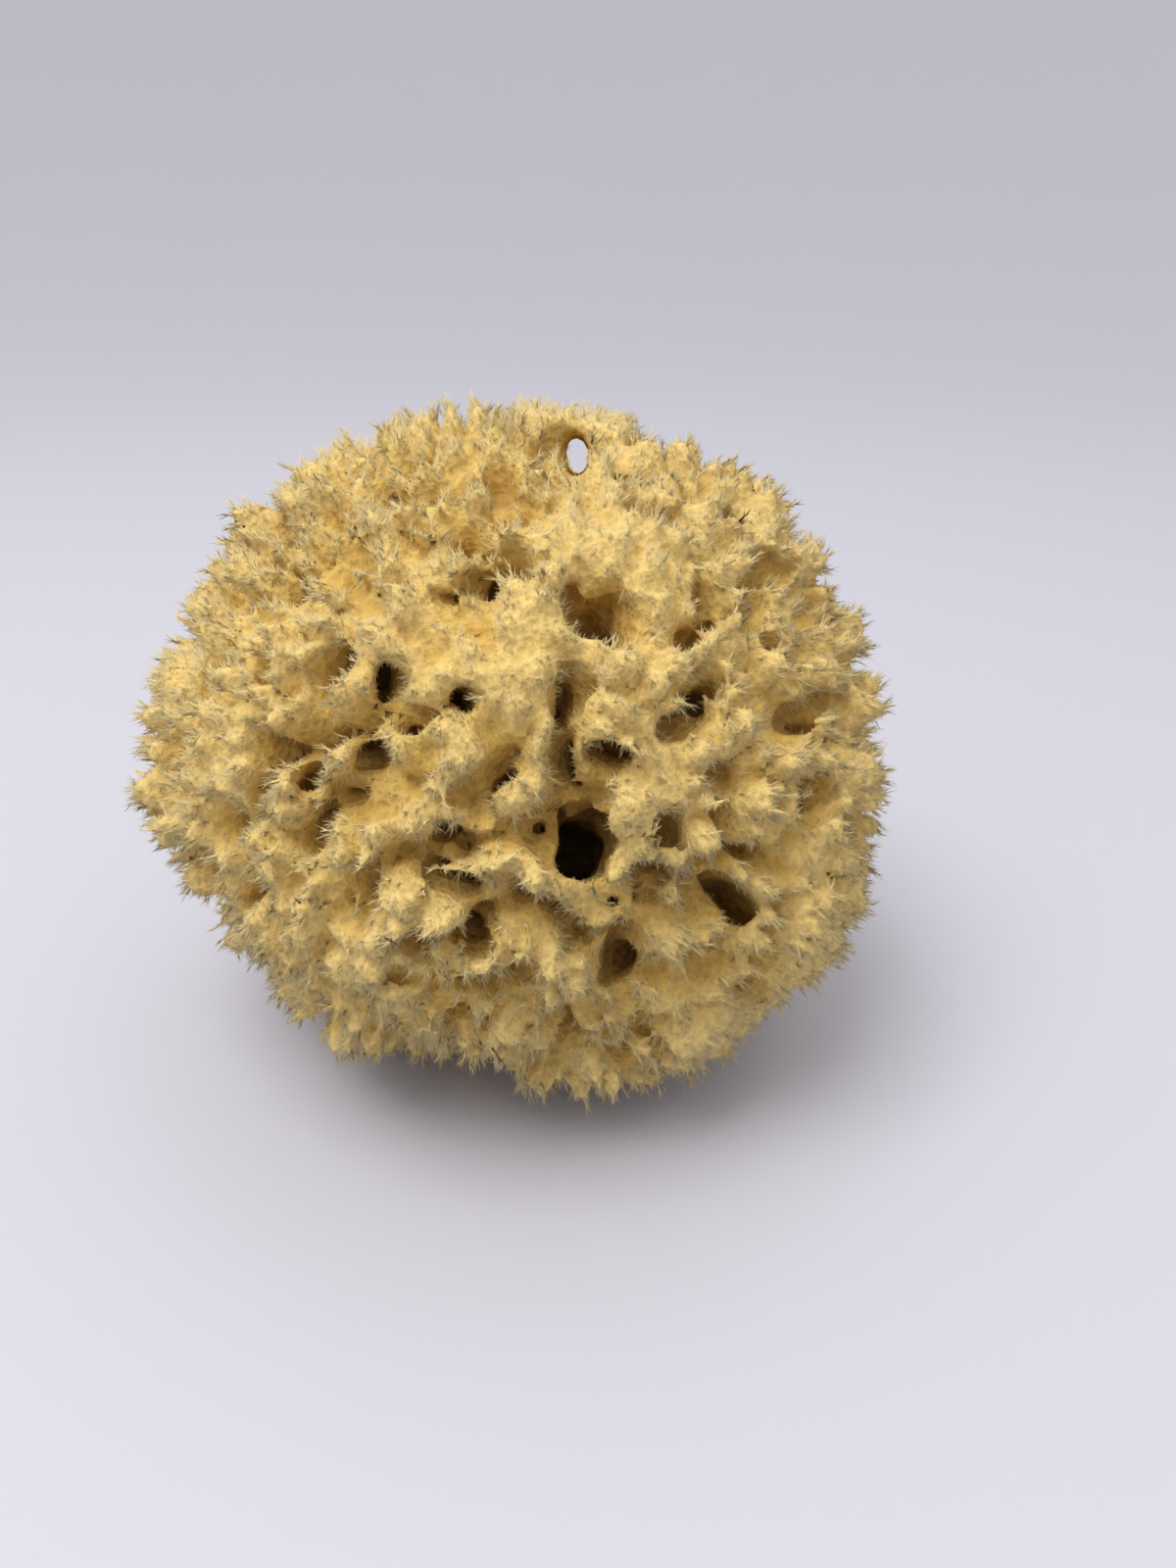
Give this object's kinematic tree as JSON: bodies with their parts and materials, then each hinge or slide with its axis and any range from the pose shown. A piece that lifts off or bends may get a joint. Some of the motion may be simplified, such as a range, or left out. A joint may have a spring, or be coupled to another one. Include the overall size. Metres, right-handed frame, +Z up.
{
  "type": "sea sponge",
  "caption": "Natural bath sponge, a rounded ball of springy fibre with ragged tongues, open canals and pointed tufts, cut off flat underneath so that it stands.",
  "frame": {"origin": "on the flat cut that the sponge stands on, under the middle of its box", "axes": "+Z up out of the cut; the pictured front faces -Y; +X to the right of the front, along the greatest width"},
  "size_m": [0.1488, 0.1394, 0.1315],
  "materials": {
    "sponge_fibre": "dull, soft, fibrous, pale honey yellow"
  },
  "bodies": {
    "root": {"sponge": "sponge_fibre"}
  },
  "joints": []
}
